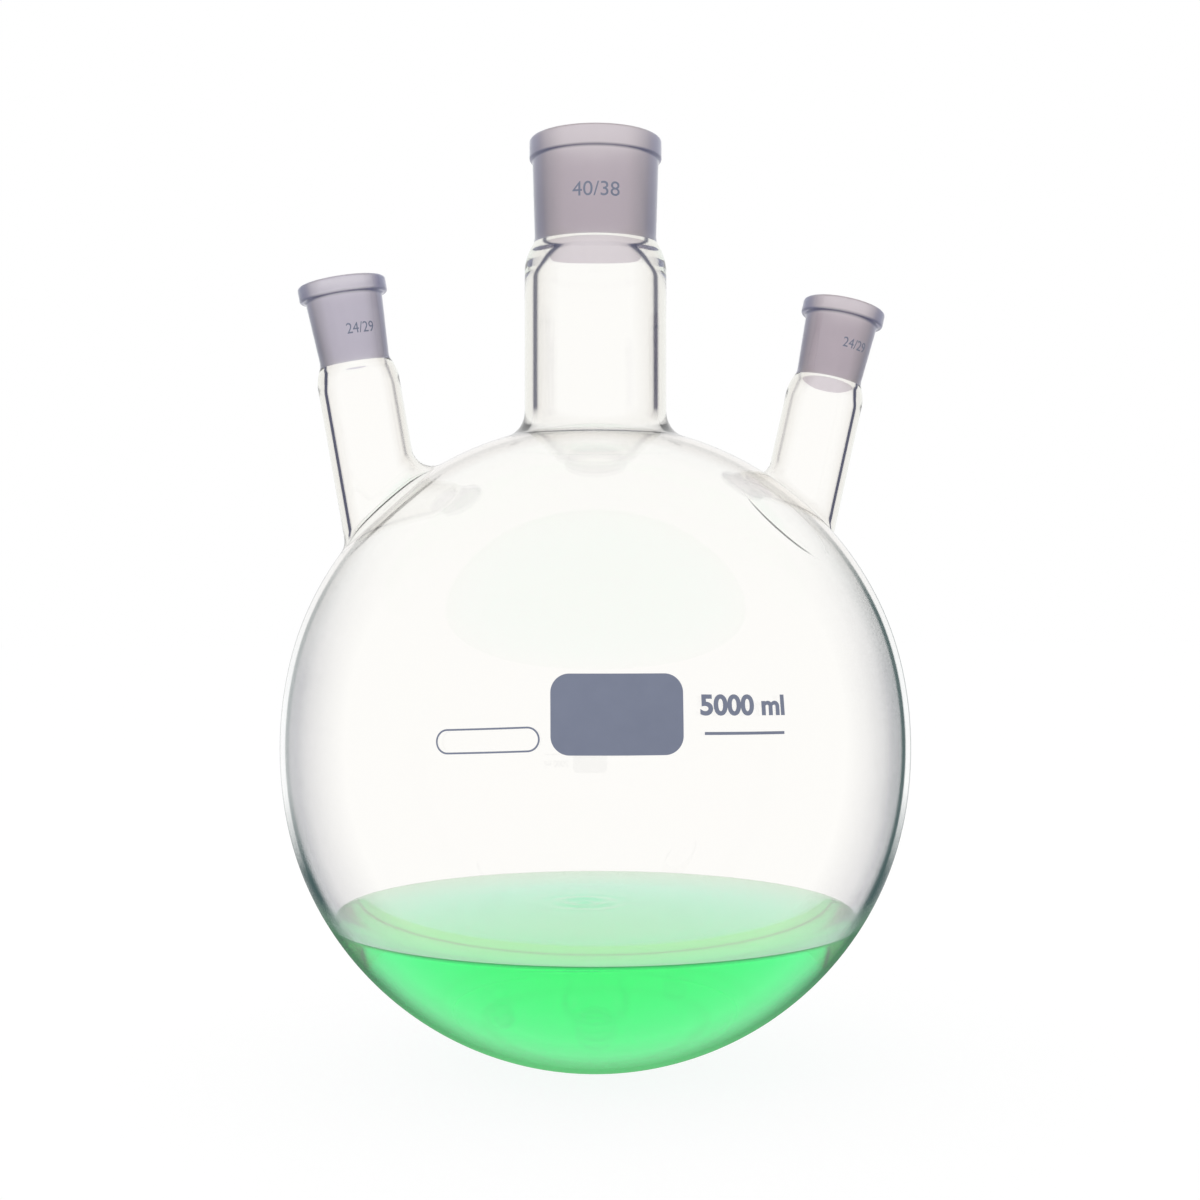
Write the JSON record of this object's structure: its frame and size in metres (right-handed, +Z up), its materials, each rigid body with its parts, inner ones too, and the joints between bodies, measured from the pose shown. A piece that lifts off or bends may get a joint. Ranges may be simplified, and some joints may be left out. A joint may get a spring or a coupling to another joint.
{
  "type": "three neck round-bottom flask",
  "caption": "Round-bottom glass laboratory flask with an upright centre neck and leaning side necks, all with conical ground joints, part filled with a green liquid.",
  "frame": {"origin": "lowest point of the ball's outside, on the axis of the centre neck", "axes": "+Z up along the centre neck's axis, +X towards the right side neck, -Y towards the front, where the print is"},
  "size_m": [0.223, 0.2231, 0.3315],
  "materials": {
    "clear_glass": "polished clear borosilicate glass; the ground joints are frosted",
    "green_liquid": "clear green liquid",
    "enamel": "fired blue-grey enamel, satin"
  },
  "bodies": {
    "root": {"flask": "clear_glass", "liquid": "green_liquid", "marking_spot": "enamel"}
  },
  "joints": []
}
